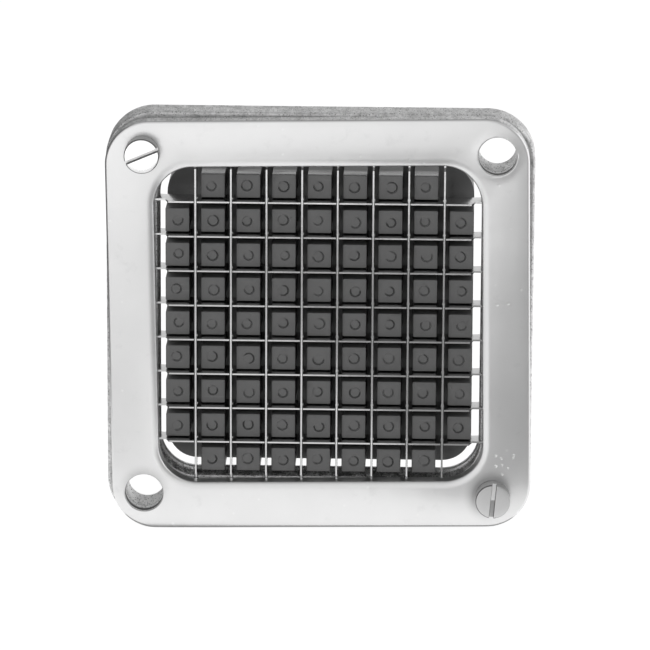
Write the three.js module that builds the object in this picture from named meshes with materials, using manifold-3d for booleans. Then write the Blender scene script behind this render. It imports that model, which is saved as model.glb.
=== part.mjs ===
// Blade head and pusher block of a french fry cutter, in millimetres, +Z up.
// Two cast frames clamp a grid of thin steel blades. A moulded block of square fingers
// slides through the grid from behind and pushes the cut potato out at the front.
// The head stands upright on its lower edge and its front face looks along -Y.
// Depths below are counted backwards, along +Y, from the front face of the front frame.

import * as THREE from 'three';
import { mergeVertices } from 'three/addons/utils/BufferGeometryUtils.js';
import Module from 'manifold-3d';

// Grid: 3/8 inch cells between blades that cross in half laps
const cellPitch = 9.525;
const bladesEachWay = 8;
const bladeThickness = 0.5;
const bladeDepth = 9;
const lapClearance = 0.15;

// Blade ends: a shoulder, a shallower neck that crosses the rear frame's rail, and a hook
const neckSetback = 2.8;
const verticalShoulder = { inset: 1.3, run: 0.4 };
const horizontalShoulder = { inset: 3.2, run: 0.9 };
const neckLength = 2.3;
const hookWidth = 1.8;
const hookDrop = 0.9;

// Frames
const windowMargin = 0.89;
const windowCornerRadius = 10.5;
const railWidth = 13.7;
const frontStepIn = 0.85;
const frontThickness = 4.8;
const frontCornerRadius = 12;
const frontEdgeRound = 1;
const windowEdgeRound = 2.4;
const rearThickness = 9.4;
const rearCornerRadius = 12.8;
const rearEdgeRound = 0.7;
const frameSeam = 0.4;
const seatClearance = 0.3;
const grooveClearance = 0.3;
const grooveEndRoom = 1.4;

// The front casting sits a little turned against the rear one, and the corner holes
// were drilled through both together, so these stay in line
const frontTwistDegrees = 0.95;

// Corner holes: two are left open for mounting, two take the clamp screws
const holeEdgeDistance = 9.35;
const mountHoleDiameter = 10.3;
const holeEdgeRound = 1.2;

// Clamp screws: slotted cheese heads, threaded into the rear frame
const shankDiameter = 6.35;
const shankClearance = 0.4;
const threadClearance = 0.15;
const shankShortfall = 0.8;
const shankPointChamfer = 0.6;
const headDiameter = 9.4;
const headHeight = 4.5;
const headEdgeRound = 0.4;
const headSeatGap = 0.1;
const driverSlotWidth = 1.2;
const driverSlotDepth = 1.7;
const upperSlotDegrees = 23;
const lowerSlotDegrees = 85;

// Pusher block: it rests on the horizontal blades, a little to the left. A base plate carries
// one comb of fingers for each row of cells, and the strips of the combs are its front layer.
const fingerSize = 6.45;
const fingerLength = 12.75;
const fingerRecess = 3.3;
const fingerRoot = 1;
const fingerRestGap = 0.3;
const pusherShift = 0.2;
const baseThickness = 8;
const stripThickness = 1.5;
const stripGap = 0.1;
const baseMargin = 0.15;
const baseCornerRadius = 8;
const baseEdgeRound = 0.6;

// Threaded inserts in the back of the pusher block
const insertSpacingCells = 5;
const insertDiameter = 7;
const insertBore = 4.4;
const insertLength = 5.6;
const insertChamfer = 0.5;
const insertClearance = 0.15;

// One overrun serves every cut
const cutOverrun = 1;

// Facets
const arcSteps = 4;
const roundSteps = 3;
const smallRoundSteps = 2;
const turnSteps = 24;

// Sizes that follow
const cellsEachWay = bladesEachWay + 1;
const windowSize = cellsEachWay * cellPitch + 2 * windowMargin;
const wall = windowSize / 2;
const rearSize = windowSize + 2 * railWidth;
const frontSize = rearSize - 2 * frontStepIn;
const holeOffset = frontSize / 2 - holeEdgeDistance;
const rearFront = frontThickness + frameSeam;
const rearBack = rearFront + rearThickness;
const neckFront = frontThickness + seatClearance;
const bladeFront = neckFront - neckSetback;
const bladeMiddle = bladeFront + bladeDepth / 2;
const bladeBack = bladeFront + bladeDepth;
const hookBack = bladeBack + hookDrop;
const hookStart = wall + neckLength;
const hookEnd = hookStart + hookWidth;
const slotWidth = bladeThickness + 2 * lapClearance;
const fingerFront = bladeFront + fingerRecess;
const baseFront = fingerFront + fingerLength;
const stripBack = baseFront + stripThickness;
const baseBack = baseFront + baseThickness;
const baseSize = bladesEachWay * cellPitch + fingerSize + 2 * baseMargin;
const pusherDrop = (cellPitch - bladeThickness - fingerSize) / 2 - fingerRestGap;
const headFront = -headSeatGap - headHeight;

// Places of the blades and of the cells, counted from the middle of the grid
function places(count) {
  return Array.from({ length: count }, (_, i) => (i - (count - 1) / 2) * cellPitch);
}
const bladePlaces = places(bladesEachWay);
const cellPlaces = places(cellsEachWay);
const corners = [
  { name: 'upper_left', x: -1, z: 1 },
  { name: 'upper_right', x: 1, z: 1 },
  { name: 'lower_left', x: -1, z: -1 },
  { name: 'lower_right', x: 1, z: -1 },
];

const wasm = await Module();
wasm.setup();

// A three.js geometry as a closed solid, and back
function solidOf(geometry) {
  geometry.deleteAttribute('normal');
  geometry.deleteAttribute('uv');
  const merged = mergeVertices(geometry);
  const index = merged.index.array;
  const triVerts = [];
  for (let i = 0; i < index.length; i += 3) {
    const [a, b, c] = [index[i], index[i + 1], index[i + 2]];
    if (a !== b && b !== c && c !== a) {
      triVerts.push(a, b, c);
    }
  }
  return new wasm.Manifold(new wasm.Mesh({
    numProp: 3,
    vertProperties: new Float32Array(merged.attributes.position.array),
    triVerts: new Uint32Array(triVerts),
  }));
}

function geometryOf(solid) {
  const mesh = solid.getMesh();
  const geometry = new THREE.BufferGeometry();
  geometry.setAttribute('position', new THREE.BufferAttribute(mesh.vertProperties, 3));
  geometry.setIndex(new THREE.BufferAttribute(mesh.triVerts, 1));
  geometry.computeVertexNormals();
  return geometry;
}

function joined(solids) {
  return solids.reduce((whole, solid) => whole.add(solid));
}

// A square with round corners, as a shape or as a hole in one
function roundedSquare(size, radius, Kind = THREE.Shape) {
  const flat = size / 2 - radius;
  const outline = new Kind();
  outline.absarc(flat, flat, radius, 0, Math.PI / 2);
  outline.absarc(-flat, flat, radius, Math.PI / 2, Math.PI);
  outline.absarc(-flat, -flat, radius, Math.PI, 3 * Math.PI / 2);
  outline.absarc(flat, -flat, radius, 3 * Math.PI / 2, 2 * Math.PI);
  outline.closePath();
  return outline;
}

// An outline in X and Z, carried from one depth to another, with its edges rounded
function plate(shape, front, back, edgeRound, steps) {
  const geometry = new THREE.ExtrudeGeometry(shape, {
    depth: back - front - 2 * edgeRound,
    curveSegments: arcSteps,
    bevelThickness: edgeRound,
    bevelSize: edgeRound,
    bevelOffset: -edgeRound,
    bevelSegments: steps,
  });
  geometry.rotateX(Math.PI / 2);
  geometry.translate(0, back - edgeRound, 0);
  return geometry;
}

// A block between two corners
function block(low, high) {
  const geometry = new THREE.BoxGeometry(high[0] - low[0], high[1] - low[1], high[2] - low[2]);
  geometry.translate((low[0] + high[0]) / 2, (low[1] + high[1]) / 2, (low[2] + high[2]) / 2);
  return geometry;
}

// A round piece about the depth axis: its profile runs from front to back
function turned(profile) {
  return new THREE.LatheGeometry(profile.map(([radius, y]) => new THREE.Vector2(radius, y)), turnSteps);
}

function drill(radius, front, back) {
  return turned([[0, front], [radius, front], [radius, back], [0, back]]);
}

// Front frame: polished casting with a rolled window edge and flat back
function frontFrame() {
  const back = frontThickness + windowEdgeRound;
  const blank = plate(roundedSquare(frontSize, frontCornerRadius), 0, back, frontEdgeRound, smallRoundSteps);
  const surround = roundedSquare(frontSize + 4 * windowEdgeRound, frontCornerRadius);
  surround.holes.push(roundedSquare(windowSize, windowCornerRadius, THREE.Path));
  const ring = plate(surround, 0, back, windowEdgeRound, roundSteps);
  const slab = block([-frontSize, 0, -frontSize], [frontSize, frontThickness, frontSize]);
  const casting = geometryOf(solidOf(blank).intersect(solidOf(ring)).intersect(solidOf(slab)));
  casting.rotateY(-THREE.MathUtils.degToRad(frontTwistDegrees));
  const holes = corners.map(({ x, z }) => {
    const cutter = x === z ? mountHoleCutter() : drill(shankDiameter / 2 + shankClearance,
      -cutOverrun, frontThickness + cutOverrun);
    return solidOf(cutter.translate(x * holeOffset, 0, z * holeOffset));
  });
  return geometryOf(solidOf(casting).subtract(joined(holes)));
}

// An open corner hole whose rim is rounded over into the front face
function mountHoleCutter() {
  const radius = mountHoleDiameter / 2;
  const rim = Array.from({ length: roundSteps + 1 }, (_, i) => {
    const angle = (i / roundSteps) * Math.PI / 2;
    const out = holeEdgeRound * (1 - Math.sin(angle));
    return [radius + out, holeEdgeRound * (1 - Math.cos(angle))];
  });
  const mouth = radius + holeEdgeRound;
  const back = frontThickness + cutOverrun;
  return turned([[0, -cutOverrun], [mouth, -cutOverrun], ...rim, [radius, back], [0, back]]);
}

// Rear frame: thick sand casting with slots for the blade necks and grooves for their hooks
function rearFrame() {
  const outline = roundedSquare(rearSize, rearCornerRadius);
  outline.holes.push(roundedSquare(windowSize, windowCornerRadius, THREE.Path));
  const casting = solidOf(plate(outline, rearFront, rearBack, rearEdgeRound, smallRoundSteps));
  const mouth = rearFront - cutOverrun;
  const grooveHalf = bladePlaces[bladesEachWay - 1] + grooveEndRoom;
  const grooveIn = hookStart - grooveClearance;
  const grooveOut = hookEnd + grooveClearance;
  const grooveBack = hookBack + grooveClearance;
  const slotBack = bladeBack + lapClearance;
  const cuts = [];
  for (const side of [-1, 1]) {
    const [near, far] = [side * grooveIn, side * grooveOut].sort((a, b) => a - b);
    cuts.push(block([near, mouth, -grooveHalf], [far, grooveBack, grooveHalf]));
    cuts.push(block([-grooveHalf, mouth, near], [grooveHalf, grooveBack, far]));
    const reach = [side * (wall - cutOverrun), side * (grooveIn + cutOverrun)].sort((a, b) => a - b);
    for (const place of bladePlaces) {
      const [low, high] = [place - slotWidth / 2, place + slotWidth / 2];
      cuts.push(block([low, mouth, reach[0]], [high, slotBack, reach[1]]));
      cuts.push(block([reach[0], mouth, low], [reach[1], slotBack, high]));
    }
  }
  for (const { x, z } of corners) {
    const radius = x === z ? mountHoleDiameter / 2 : shankDiameter / 2 + threadClearance;
    cuts.push(drill(radius, mouth, rearBack + cutOverrun).translate(x * holeOffset, 0, z * holeOffset));
  }
  return geometryOf(casting.subtract(joined(cuts.map(solidOf))));
}

// Blade outline, length by depth. The vertical blades are notched from the back and the
// horizontal ones from the front, so that they cross in half laps.
function bladeOutline(shoulder, notchedInFront) {
  const shoulderStart = wall - shoulder.inset;
  const notchEnd = bladeMiddle + (notchedInFront ? lapClearance : -lapClearance);
  const edge = notchedInFront ? bladeFront : bladeBack;
  const notches = bladePlaces.flatMap((place) => [
    [place - slotWidth / 2, edge],
    [place - slotWidth / 2, notchEnd],
    [place + slotWidth / 2, notchEnd],
    [place + slotWidth / 2, edge],
  ]);
  const end = [
    [shoulderStart, bladeFront],
    [shoulderStart + shoulder.run, neckFront],
    [hookEnd, neckFront],
    [hookEnd, hookBack],
    [hookStart, hookBack],
    [hookStart, bladeBack],
  ];
  const otherEnd = end.map(([along, depth]) => [-along, depth]).reverse();
  const points = notchedInFront
    ? [...notches, ...end, ...otherEnd]
    : [...end, ...notches.reverse(), ...otherEnd];
  return new THREE.Shape(points.map(([along, depth]) => new THREE.Vector2(along, depth)));
}

function blade(shoulder, notchedInFront) {
  const outline = bladeOutline(shoulder, notchedInFront);
  const geometry = new THREE.ExtrudeGeometry(outline, { depth: bladeThickness, bevelEnabled: false });
  geometry.translate(0, 0, -bladeThickness / 2);
  return geometry;
}

// Clamp screw: cheese head with a driver slot, plain shank in place of the thread
function clampScrew(slotDegrees) {
  const head = headDiameter / 2;
  const shank = shankDiameter / 2;
  const tip = rearBack - shankShortfall;
  const body = turned([
    [0, headFront],
    [head - headEdgeRound, headFront],
    [head, headFront + headEdgeRound],
    [head, -headSeatGap],
    [shank, -headSeatGap],
    [shank, tip - shankPointChamfer],
    [shank - shankPointChamfer, tip],
    [0, tip],
  ]);
  const slot = block(
    [-headDiameter, headFront - cutOverrun, -driverSlotWidth / 2],
    [headDiameter, headFront + driverSlotDepth, driverSlotWidth / 2],
  );
  slot.rotateY(-THREE.MathUtils.degToRad(slotDegrees));
  return geometryOf(solidOf(body).subtract(solidOf(slot)));
}

// The outline of the pusher block's base, cut down to one layer of it
function baseLayer(front, back, lower, upper) {
  const outline = roundedSquare(baseSize, baseCornerRadius);
  const whole = plate(outline, baseFront, baseBack, baseEdgeRound, smallRoundSteps);
  return solidOf(whole).intersect(solidOf(block([-baseSize, front, lower], [baseSize, back, upper])));
}

// One row of fingers on their strip, with no finger behind the four corner cells
function fingerRow(row) {
  const z = cellPlaces[row];
  const last = cellsEachWay - 1;
  const reach = (cellPitch - stripGap) / 2;
  const lower = row === 0 ? -baseSize : z - reach;
  const upper = row === last ? baseSize : z + reach;
  const inEndRow = row === 0 || row === last;
  const columns = inEndRow ? cellPlaces.slice(1, last) : cellPlaces;
  const half = fingerSize / 2;
  const fingers = columns.map((x) => (
    block([x - half, fingerFront, z - half], [x + half, baseFront + fingerRoot, z + half])));
  const strip = baseLayer(baseFront - cutOverrun, stripBack, lower, upper);
  return geometryOf(joined([strip, ...fingers.map(solidOf)]));
}

// Base plate behind the strips, bored for the inserts
function pusherBase() {
  const boreFront = baseBack - insertLength - insertClearance;
  const boreRadius = insertDiameter / 2 + insertClearance;
  const bores = insertPlaces().map(([x, z]) => (
    drill(boreRadius, boreFront, baseBack + cutOverrun).translate(x, 0, z)));
  const layer = baseLayer(stripBack + stripGap, baseBack + cutOverrun, -baseSize, baseSize);
  return geometryOf(layer.subtract(joined(bores.map(solidOf))));
}

function insertPlaces() {
  const offset = insertSpacingCells * cellPitch / 2;
  return corners.map(({ x, z }) => [x * offset, z * offset]);
}

// Threaded insert: short brass sleeve, flush with the back of the base plate
function threadedInsert() {
  const outer = insertDiameter / 2;
  const inner = insertBore / 2;
  const front = baseBack - insertLength;
  return geometryOf(solidOf(turned([
    [inner, front],
    [outer - insertChamfer, front],
    [outer, front + insertChamfer],
    [outer, baseBack],
    [inner + insertChamfer, baseBack],
    [inner, baseBack - insertChamfer],
    [inner, front],
  ])));
}

// Finishes
const polishedAluminium = new THREE.MeshStandardMaterial({ color: 0xd9d9d9, roughness: 0.35, metalness: 1 });
const castAluminium = new THREE.MeshStandardMaterial({ color: 0xb4b4b4, roughness: 0.7, metalness: 1 });
const bladeSteel = new THREE.MeshStandardMaterial({ color: 0xd0d0d0, roughness: 0.2, metalness: 1 });
const screwSteel = new THREE.MeshStandardMaterial({ color: 0xe0e0e0, roughness: 0.25, metalness: 1 });
const blackPlastic = new THREE.MeshStandardMaterial({ color: 0x484848, roughness: 0.5, metalness: 0 });
const brass = new THREE.MeshStandardMaterial({ color: 0xb8964e, roughness: 0.35, metalness: 1 });

function named(name, geometry, material) {
  const mesh = new THREE.Mesh(geometry, material.clone());
  mesh.name = name;
  return mesh;
}

// Blade head: the two frames, the blades and the two clamp screws
const bladeHead = new THREE.Group();
bladeHead.add(named('front_frame', frontFrame(), polishedAluminium));
bladeHead.add(named('rear_frame', rearFrame(), castAluminium));
bladePlaces.forEach((place, i) => {
  const vertical = named(`vertical_blade_${i + 1}`, blade(verticalShoulder, false), bladeSteel);
  vertical.geometry.rotateY(-Math.PI / 2);
  vertical.position.x = place;
  const horizontal = named(`horizontal_blade_${i + 1}`, blade(horizontalShoulder, true), bladeSteel);
  horizontal.position.z = -place;
  bladeHead.add(vertical, horizontal);
});
const screwSlots = { upper_left: upperSlotDegrees, lower_right: lowerSlotDegrees };
for (const { name, x, z } of corners.filter((corner) => corner.x !== corner.z)) {
  const screw = named(`clamp_screw_${name}`, clampScrew(screwSlots[name]), screwSteel);
  screw.position.set(x * holeOffset, 0, z * holeOffset);
  bladeHead.add(screw);
}

// Pusher: the moulded block and the inserts that fasten it to the machine's carriage
const pusher = new THREE.Group();
pusher.position.set(-pusherShift, 0, -pusherDrop);
pusher.add(named('pusher_base', pusherBase(), blackPlastic));
cellPlaces.forEach((place, i) => {
  pusher.add(named(`finger_row_${cellsEachWay - i}`, fingerRow(i), blackPlastic));
});
insertPlaces().forEach(([x, z], i) => {
  const insert = named(`pusher_insert_${corners[i].name}`, threadedInsert(), brass);
  insert.position.set(x, 0, z);
  pusher.add(insert);
});

// The origin lies under the middle of the whole object, on the surface that it stands on
const fryCutter = new THREE.Group();
fryCutter.position.set(0, -(headFront + baseBack) / 2, rearSize / 2);
fryCutter.add(bladeHead, pusher);

export default fryCutter;
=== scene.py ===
import math
import random

import bmesh
import bpy
from mathutils import Matrix, Vector, noise


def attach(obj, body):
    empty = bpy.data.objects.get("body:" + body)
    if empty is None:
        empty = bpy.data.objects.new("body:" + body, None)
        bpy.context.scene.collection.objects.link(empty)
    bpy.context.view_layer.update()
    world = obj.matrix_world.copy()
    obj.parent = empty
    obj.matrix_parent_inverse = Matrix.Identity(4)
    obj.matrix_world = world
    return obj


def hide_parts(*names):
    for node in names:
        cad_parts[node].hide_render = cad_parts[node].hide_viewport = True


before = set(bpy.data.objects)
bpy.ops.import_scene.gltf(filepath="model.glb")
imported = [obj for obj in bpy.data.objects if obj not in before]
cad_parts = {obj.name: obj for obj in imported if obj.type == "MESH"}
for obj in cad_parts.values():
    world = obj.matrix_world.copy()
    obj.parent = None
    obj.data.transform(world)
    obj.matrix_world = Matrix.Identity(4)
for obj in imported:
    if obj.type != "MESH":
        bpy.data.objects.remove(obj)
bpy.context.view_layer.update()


# Camera: a long lens a little above the blade head and to its right, as in the photograph.
# It looks slightly right of and above the middle of the front face, to frame the head alike.
MM = 0.001
camera_distance = 1.3
camera_azimuth = math.radians(1.5)
camera_elevation = math.radians(15.1)
camera_roll = math.radians(0.3)
frame_width_at_head = 174.4 * MM
front_face_middle = Vector((0, -10.9 * MM, 57.45 * MM))
aim_past_middle = Vector((1.6 * MM, 0, 0.43 * MM))

camera_data = bpy.data.cameras.new("camera")
camera_data.sensor_width = 36
camera_data.lens = camera_data.sensor_width * camera_distance / frame_width_at_head
camera_data.clip_start = 0.05
camera_data.clip_end = 50
camera = bpy.data.objects.new("camera", camera_data)
bpy.context.scene.collection.objects.link(camera)
backwards = Vector((
    math.sin(camera_azimuth) * math.cos(camera_elevation),
    -math.cos(camera_azimuth) * math.cos(camera_elevation),
    math.sin(camera_elevation),
))
camera.location = front_face_middle + aim_past_middle + backwards * camera_distance
facing = (-backwards).to_track_quat("-Z", "Y").to_matrix()
camera.rotation_euler = (facing @ Matrix.Rotation(camera_roll, 3, "Z")).to_euler()
bpy.context.scene.camera = camera
bpy.context.scene.view_settings.view_transform = "Standard"


# Studio: a pale tabletop, a soft room with a dark ceiling, and two soft boxes.
# Cards that only reflections see give the polished metal its dark and bright edges.
def feed(tree, socket, value):
    """Gives an input a constant, or links it to the socket that feeds it."""
    if isinstance(value, bpy.types.NodeSocket):
        tree.links.new(value, socket)
    elif value is not None:
        socket.default_value = value


def add(tree, kind, inputs=None, **settings):
    """Puts a node in a tree, sets it up and feeds its inputs."""
    made = tree.nodes.new(kind)
    for name, value in settings.items():
        setattr(made, name, value)
    for name, value in (inputs or {}).items():
        feed(tree, made.inputs[name], value)
    return made


def grey(value):
    return (value, value, value, 1)


def ramp(tree, factor, stops):
    """A colour ramp of greys: stops are (position, value)."""
    made = add(tree, "ShaderNodeValToRGB", {"Fac": factor})
    elements = made.color_ramp.elements
    while len(elements) < len(stops):
        elements.new(0.5)
    for element, (position, value) in zip(elements, stops):
        element.position = position
        element.color = grey(value)
    return made.outputs["Color"]


def maths(tree, operation, first, second=0.0, third=None, clamp=False):
    inputs = {0: first, 1: second, 2: third}
    return add(tree, "ShaderNodeMath", inputs, operation=operation, use_clamp=clamp).outputs[0]


def mix(tree, factor, first, second, kind="Color"):
    """Mixes two colours, or two plain values if the kind is Float."""
    made = add(tree, "ShaderNodeMix", data_type={"Color": "RGBA", "Float": "FLOAT"}[kind])
    sockets = {socket.identifier: socket for socket in made.inputs}
    for name, value in (("Factor_Float", factor), (f"A_{kind}", first), (f"B_{kind}", second)):
        feed(tree, sockets[name], value)
    return next(socket for socket in made.outputs if socket.identifier == f"Result_{kind}")


def mesh_object(name, source):
    """An object in the scene from a bmesh, which is used up."""
    source.normal_update()
    mesh = bpy.data.meshes.new(name)
    source.to_mesh(mesh)
    source.free()
    made = bpy.data.objects.new(name, mesh)
    bpy.context.scene.collection.objects.link(made)
    return made


def bare_material(name):
    """A material with nothing in its tree yet, and that tree."""
    made = bpy.data.materials.new(name)
    made.use_nodes = True
    made.node_tree.nodes.clear()
    return made, made.node_tree


room = bpy.data.worlds.new("soft room")
bpy.context.scene.world = room
room.use_nodes = True
tree = room.node_tree
tree.nodes.clear()
generated = add(tree, "ShaderNodeTexCoord").outputs["Generated"]
direction = add(tree, "ShaderNodeSeparateXYZ", {"Vector": generated}).outputs
height_factor = maths(tree, "MULTIPLY_ADD", direction["Z"], 0.5, 0.5)
before_head = ramp(tree, height_factor, [(0.0, 0.92), (0.6, 0.92), (0.75, 0.88), (0.9, 0.6), (1.0, 0.36)])
behind_head = ramp(tree, height_factor, [(0.0, 1.0), (0.55, 1.0), (0.7, 0.6), (1.0, 0.25)])
behind = maths(tree, "MULTIPLY_ADD", direction["Y"], 2.0, 0.3, clamp=True)
room_light = mix(tree, behind, before_head, behind_head)
path = add(tree, "ShaderNodeLightPath").outputs
room_light = mix(tree, path["Is Camera Ray"], room_light, grey(1))
surroundings = add(tree, "ShaderNodeBackground", {"Color": room_light, "Strength": 1.0})
add(tree, "ShaderNodeOutputWorld", {"Surface": surroundings.outputs["Background"]})

# The tabletop shows as white to the eye and to metal, and keeps a faint soft shadow
tabletop_reach = 6.0
tabletop_mesh = bmesh.new()
bmesh.ops.create_grid(tabletop_mesh, x_segments=12, y_segments=12, size=tabletop_reach)
tabletop = mesh_object("tabletop", tabletop_mesh)
tabletop_paint, tree = bare_material("tabletop white")
path = add(tree, "ShaderNodeLightPath").outputs
seen = maths(tree, "ADD", path["Is Camera Ray"], path["Is Glossy Ray"], clamp=True)
seen = maths(tree, "ADD", seen, path["Is Transmission Ray"], clamp=True)
painted = add(tree, "ShaderNodeBsdfDiffuse", {"Color": grey(0.8)})
thinly_painted = add(tree, "ShaderNodeBsdfDiffuse", {"Color": grey(0.16)})
glowing = add(tree, "ShaderNodeEmission", {"Color": grey(1), "Strength": 0.92})
white = add(tree, "ShaderNodeAddShader", {0: thinly_painted.outputs[0], 1: glowing.outputs[0]})
surface = add(tree, "ShaderNodeMixShader", {0: seen, 1: painted.outputs[0], 2: white.outputs[0]})
add(tree, "ShaderNodeOutputMaterial", {"Surface": surface.outputs[0]})
tabletop.data.materials.append(tabletop_paint)

# Each soft box has a spot in metres, a width, a height and a power. Reflections leave it out.
head_middle = Vector((0, 0, 0.057))
for name, spot, width, height, power in (
    ("soft box front", (-0.5, -1.6, 0.9), 0.8, 0.8, 20),
    ("soft box right", (0.75, -0.1, 0.3), 0.3, 0.7, 4),
):
    lamp = bpy.data.lights.new(name, "AREA")
    lamp.shape = "RECTANGLE"
    lamp.size = width
    lamp.size_y = height
    lamp.energy = power
    soft_box = bpy.data.objects.new(name, lamp)
    bpy.context.scene.collection.objects.link(soft_box)
    soft_box.location = spot
    soft_box.rotation_euler = (head_middle - Vector(spot)).to_track_quat("-Z", "Y").to_euler()
    soft_box.visible_camera = False
    soft_box.visible_glossy = False

# Each card has a corner, two sides and a brightness. Only glossy rays meet it.
for name, corner, along, across, brightness in (
    ("card left dark", (-0.17, -0.1, 0.001), (0, 0.4, 0), (0, 0, 0.3), 0.12),
    ("card left lying", (-0.22, -0.34, 0.001), (0.18, 0, 0), (0, 0.28, 0), 0.8),
    ("card far bright", (-0.3, -0.64, 0.001), (0.37, 0, 0), (0, 0.27, 0), 1.5),
    # The card below the edge is a painted shadow: a dark strip in front of the frame's foot that only
    # reflections see
    ("card below the edge, painted shadow", (-0.055, -0.0125, 0.0003), (0.11, 0, 0), (0, 0.01, 0), 0.33),
    ("card right lying near", (0.033, -0.045, 0.001), (0.28, 0, 0), (-0.085, -0.31, 0), 0.35),
    ("card right lying far", (0.04, -0.355, 0.001), (0.26, 0, 0), (0.02, -0.1, 0), 0.95),
    ("card right grey", (0.085, -0.3, 0.002), (0.28, 0.1, 0), (0, 0, 0.3), 0.42),
    ("card right bright", (0.4, -0.19, 0.001), (0, 0.49, 0), (0, 0, 0.35), 1.3),
):
    corner, along, across = Vector(corner), Vector(along), Vector(across)
    card_mesh = bmesh.new()
    corners = (corner, corner + along, corner + along + across, corner + across)
    card_mesh.faces.new([card_mesh.verts.new(point) for point in corners])
    card = mesh_object(name, card_mesh)
    paint, tree = bare_material(name)
    even = add(tree, "ShaderNodeEmission", {"Color": grey(1), "Strength": brightness})
    add(tree, "ShaderNodeOutputMaterial", {"Surface": even.outputs[0]})
    card.data.materials.append(paint)
    card.visible_camera = False
    card.visible_diffuse = False
    card.visible_shadow = False
    card.visible_transmission = False


# Front frame: a flat-backed aluminium casting, tumbled and polished until its face is softly
# crowned and its edges are rolled. It clamps the blade ends against the rear frame. It sits a
# little turned, while the corner holes were drilled through both frames together.
depth_shift = -10.875
grid_middle = 57.4525
front_half = 56.6025
front_corner_radius = 12
front_thickness = 4.8
front_edge_round = 0.75
front_back_edge = 0.35
window_half = 43.7525
window_corner_radius = 10.5
window_roll_width = 2.5
window_roll_depth = 1.15
face_crown = 0.14
crown_steps = 14
front_twist = math.radians(0.95)
hole_offset = 47.2525
open_holes = ((-hole_offset, -hole_offset), (hole_offset, hole_offset))
screw_holes = ((hole_offset, -hole_offset), (-hole_offset, hole_offset))
mount_hole_radius = 5.15
screw_hole_radius = 3.575
rim_roll_width = 0.4
rim_roll_depth = 0.5
screw_rim_roll = 0.3
lip_reach = 7.9
lip_rise = 0.2
arc_steps = 24
straight_steps = 56
round_steps = 8


def place(x, depth, z):
    """A point of the head, given in millimetres from the grid's middle and the front face."""
    return Vector((x * MM, (depth + depth_shift) * MM, (z + grid_middle) * MM))


def limit(value, low=0, high=1):
    return max(low, min(high, value))


def rounded_square(half, radius, arcs=arc_steps, straights=straight_steps):
    """Points round a square with round corners, anticlockwise from the right of its top edge."""
    flat = half - radius
    points = []
    for quarter in range(4):
        turn = Matrix.Rotation(quarter * math.pi / 2, 2)
        for i in range(arcs):
            angle = i / arcs * math.pi / 2
            points.append(turn @ Vector((flat + radius * math.cos(angle), flat + radius * math.sin(angle))))
        for i in range(straights):
            points.append(turn @ Vector((flat - 2 * flat * i / straights, half)))
    return points


def rounding(steps):
    """How far a rounded edge draws in sideways and down, as shares of its radius."""
    angles = [i / steps * math.pi / 2 for i in range(steps + 1)]
    return [(1 - math.cos(angle), 1 - math.sin(angle)) for angle in angles]


def at_depth(points, depth):
    return [place(point.x, depth, point.y) for point in points]


def join_rings(mesh, one, other):
    """Quads between two rings of vertices."""
    for i in range(len(one)):
        j = (i + 1) % len(one)
        mesh.faces.new((one[i], one[j], other[j], other[i]))


def loft(rings, closed=True):
    """Quads between rings of points, and back from the last ring to the first."""
    made = bmesh.new()
    rows = [[made.verts.new(point) for point in ring] for ring in rings]
    for one, other in list(zip(rows, rows[1:])) + ([(rows[-1], rows[0])] if closed else []):
        join_rings(made, one, other)
    bmesh.ops.recalc_face_normals(made, faces=made.faces)
    return made


def cut_with(target, cutters):
    """Subtracts closed objects from an object for good, and removes them."""
    for cutter in cutters:
        step = target.modifiers.new("cut", "BOOLEAN")
        step.operation = "DIFFERENCE"
        step.solver = "EXACT"
        step.object = cutter
    shape = target.evaluated_get(bpy.context.evaluated_depsgraph_get())
    cut = bpy.data.meshes.new_from_object(shape)
    target.modifiers.clear()
    target.data = cut
    for cutter in cutters:
        bpy.data.objects.remove(cutter)


def turned_rings(profile, x, z, steps):
    """Circles about the depth axis from a profile of (radius, depth)."""
    angles = [2 * math.pi * i / steps for i in range(steps)]
    return [[place(x + radius * math.cos(angle), depth, z + radius * math.sin(angle)) for angle in angles]
            for radius, depth in profile]


def turned_solid(name, profile, x, z, steps=64):
    """A closed round solid about the depth axis, with its profile given front to back."""
    made = loft(turned_rings(profile, x, z, steps), closed=False)
    made.verts.ensure_lookup_table()
    made.faces.new(made.verts[:steps])
    made.faces.new(made.verts[len(made.verts) - steps:])
    bmesh.ops.recalc_face_normals(made, faces=made.faces)
    return mesh_object(name, made)


def shade(piece, sharp_angle):
    """Smooth shading that keeps real corners and follows the large faces."""
    for face in piece.data.polygons:
        face.use_smooth = True
    piece.data.set_sharp_from_angle(angle=math.radians(sharp_angle))
    keep = piece.modifiers.new("even normals", "WEIGHTED_NORMAL")
    keep.keep_sharp = True
    keep.weight = 60


def front_ring(half, radius, out, depth):
    """One ring of the front frame's section: a rounded square grown by out, at a depth."""
    spin = Matrix.Rotation(front_twist, 2)
    return at_depth([spin @ point for point in rounded_square(half + out, radius + out)], depth)


def outer_ring(out, depth):
    return front_ring(front_half, front_corner_radius, out, depth)


def window_ring(out, depth):
    return front_ring(window_half, window_corner_radius, out, depth)


front_sections = []
for inset, drop in reversed(rounding(3)):
    front_sections.append(outer_ring(-front_back_edge * inset, front_thickness - front_back_edge * drop))
for inset, drop in rounding(round_steps):
    front_sections.append(outer_ring(-front_edge_round * inset, front_edge_round * drop + face_crown))
for i in range(1, crown_steps):
    share = i / crown_steps
    lift = Vector((0, face_crown * abs(2 * share - 1) ** 2.5 * MM, 0))
    edges = zip(outer_ring(-front_edge_round, 0), window_ring(window_roll_width, 0))
    front_sections.append([a.lerp(b, share) + lift for a, b in edges])
for inset, drop in rounding(round_steps):
    front_sections.append(window_ring(window_roll_width * drop, face_crown + window_roll_depth * inset))
front_sections.append(window_ring(0, front_thickness))
front_frame = mesh_object("front_frame_casting", loft(front_sections))


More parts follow.
